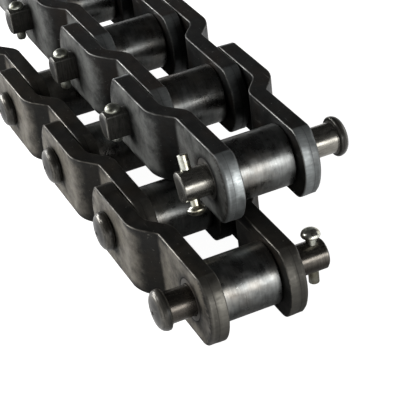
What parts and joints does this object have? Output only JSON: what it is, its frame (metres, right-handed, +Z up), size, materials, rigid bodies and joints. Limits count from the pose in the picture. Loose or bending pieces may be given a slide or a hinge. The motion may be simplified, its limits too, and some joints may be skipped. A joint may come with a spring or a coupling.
{
  "type": "offset sidebar roller chain",
  "caption": "Two strands of heavy cranked-sidebar steel roller chain, one nested on the other, with headed pins and loose riveted end pins.",
  "frame": {"origin": "on the resting surface, below the middle of the pair's box", "axes": "+X along the chain towards its free narrow end, +Y along the pins, towards the upper strand's pin heads, +Z up"},
  "size_m": [0.3994, 0.1264, 0.0733],
  "materials": {
    "sidebar_steel": "black heat-treated steel, satin",
    "bushing_steel": "hardened steel, dark satin",
    "roller_steel": "hardened steel, dark with a soft shine",
    "pin_steel": "hardened steel, dark brown-grey",
    "rivet_zinc": "bright zinc"
  },
  "bodies": {
    "lower_link_4": {"lower_plain_sidebar_4": "sidebar_steel", "lower_keyed_sidebar_4": "sidebar_steel", "lower_bushing_4": "bushing_steel"},
    "lower_roller_4_body": {"lower_roller_4": "roller_steel"},
    "lower_link_3": {"lower_plain_sidebar_3": "sidebar_steel", "lower_keyed_sidebar_3": "sidebar_steel", "lower_bushing_3": "bushing_steel", "lower_pin_4": "pin_steel", "lower_rivet_4": "rivet_zinc"},
    "lower_roller_3_body": {"lower_roller_3": "roller_steel"},
    "lower_link_2": {"lower_plain_sidebar_2": "sidebar_steel", "lower_keyed_sidebar_2": "sidebar_steel", "lower_bushing_2": "bushing_steel", "lower_pin_3": "pin_steel", "lower_rivet_3": "rivet_zinc"},
    "lower_roller_2_body": {"lower_roller_2": "roller_steel"},
    "lower_link_1": {"lower_plain_sidebar_1": "sidebar_steel", "lower_keyed_sidebar_1": "sidebar_steel", "lower_bushing_1": "bushing_steel", "lower_pin_2": "pin_steel", "lower_rivet_2": "rivet_zinc"},
    "lower_roller_1_body": {"lower_roller_1": "roller_steel"},
    "lower_end_pin": {"lower_pin_1": "pin_steel", "lower_rivet_1": "rivet_zinc"},
    "upper_link_4": {"upper_plain_sidebar_4": "sidebar_steel", "upper_keyed_sidebar_4": "sidebar_steel", "upper_bushing_4": "bushing_steel"},
    "upper_roller_4_body": {"upper_roller_4": "roller_steel"},
    "upper_link_3": {"upper_plain_sidebar_3": "sidebar_steel", "upper_keyed_sidebar_3": "sidebar_steel", "upper_bushing_3": "bushing_steel", "upper_pin_4": "pin_steel", "upper_rivet_4": "rivet_zinc"},
    "upper_roller_3_body": {"upper_roller_3": "roller_steel"},
    "upper_link_2": {"upper_plain_sidebar_2": "sidebar_steel", "upper_keyed_sidebar_2": "sidebar_steel", "upper_bushing_2": "bushing_steel", "upper_pin_3": "pin_steel", "upper_rivet_3": "rivet_zinc"},
    "upper_roller_2_body": {"upper_roller_2": "roller_steel"},
    "upper_link_1": {"upper_plain_sidebar_1": "sidebar_steel", "upper_keyed_sidebar_1": "sidebar_steel", "upper_bushing_1": "bushing_steel", "upper_pin_2": "pin_steel", "upper_rivet_2": "rivet_zinc"},
    "upper_roller_1_body": {"upper_roller_1": "roller_steel"},
    "upper_end_pin": {"upper_pin_1": "pin_steel", "upper_rivet_1": "rivet_zinc"}
  },
  "joints": [
    {"name": "lower_hinge_4", "type": "hinge", "parent": "lower_link_4", "child": "lower_link_3", "pos_m": [-0.0581, -0.0183, 0.01905], "axis": [0, -1, 0], "range_deg": [-60, 0]},
    {"name": "lower_hinge_3", "type": "hinge", "parent": "lower_link_3", "child": "lower_link_2", "pos_m": [0.02, -0.0183, 0.01905], "axis": [0, -1, 0], "range_deg": [-60, 0]},
    {"name": "lower_hinge_2", "type": "hinge", "parent": "lower_link_2", "child": "lower_link_1", "pos_m": [0.0981, -0.0183, 0.01905], "axis": [0, -1, 0], "range_deg": [-60, 0]},
    {"name": "lower_roller_1_spin", "type": "hinge", "parent": "lower_link_1", "child": "lower_roller_1_body", "pos_m": [0.1762, -0.0183, 0.01905], "axis": [0, 1, 0], "continuous": true},
    {"name": "lower_roller_2_spin", "type": "hinge", "parent": "lower_link_2", "child": "lower_roller_2_body", "pos_m": [0.0981, -0.0183, 0.01905], "axis": [0, 1, 0], "continuous": true},
    {"name": "lower_roller_3_spin", "type": "hinge", "parent": "lower_link_3", "child": "lower_roller_3_body", "pos_m": [0.02, -0.0183, 0.01905], "axis": [0, 1, 0], "continuous": true},
    {"name": "lower_roller_4_spin", "type": "hinge", "parent": "lower_link_4", "child": "lower_roller_4_body", "pos_m": [-0.0581, -0.0183, 0.01905], "axis": [0, 1, 0], "continuous": true},
    {"name": "lower_end_pin_slide", "type": "slide", "parent": "lower_link_1", "child": "lower_end_pin", "axis": [0, -1, 0], "range_m": [-0.0126, 0.0089]},
    {"name": "upper_strand_lift", "type": "slide", "parent": "lower_link_4", "child": "upper_link_4", "axis": [0, 0, 1], "range_m": [0, 0.1]},
    {"name": "upper_hinge_4", "type": "hinge", "parent": "upper_link_4", "child": "upper_link_3", "pos_m": [-0.0981, 0.0132, 0.05427], "axis": [0, -1, 0], "range_deg": [0, 60]},
    {"name": "upper_hinge_3", "type": "hinge", "parent": "upper_link_3", "child": "upper_link_2", "pos_m": [-0.02, 0.0132, 0.05427], "axis": [0, -1, 0], "range_deg": [0, 60]},
    {"name": "upper_hinge_2", "type": "hinge", "parent": "upper_link_2", "child": "upper_link_1", "pos_m": [0.0581, 0.0132, 0.05427], "axis": [0, -1, 0], "range_deg": [0, 60]},
    {"name": "upper_roller_1_spin", "type": "hinge", "parent": "upper_link_1", "child": "upper_roller_1_body", "pos_m": [0.1362, 0.0132, 0.05427], "axis": [0, 1, 0], "continuous": true},
    {"name": "upper_roller_2_spin", "type": "hinge", "parent": "upper_link_2", "child": "upper_roller_2_body", "pos_m": [0.0581, 0.0132, 0.05427], "axis": [0, 1, 0], "continuous": true},
    {"name": "upper_roller_3_spin", "type": "hinge", "parent": "upper_link_3", "child": "upper_roller_3_body", "pos_m": [-0.02, 0.0132, 0.05427], "axis": [0, 1, 0], "continuous": true},
    {"name": "upper_roller_4_spin", "type": "hinge", "parent": "upper_link_4", "child": "upper_roller_4_body", "pos_m": [-0.0981, 0.0132, 0.05427], "axis": [0, 1, 0], "continuous": true},
    {"name": "upper_end_pin_slide", "type": "slide", "parent": "upper_link_1", "child": "upper_end_pin", "axis": [0, 1, 0], "range_m": [-0.0177, 0.0038]}
  ]
}
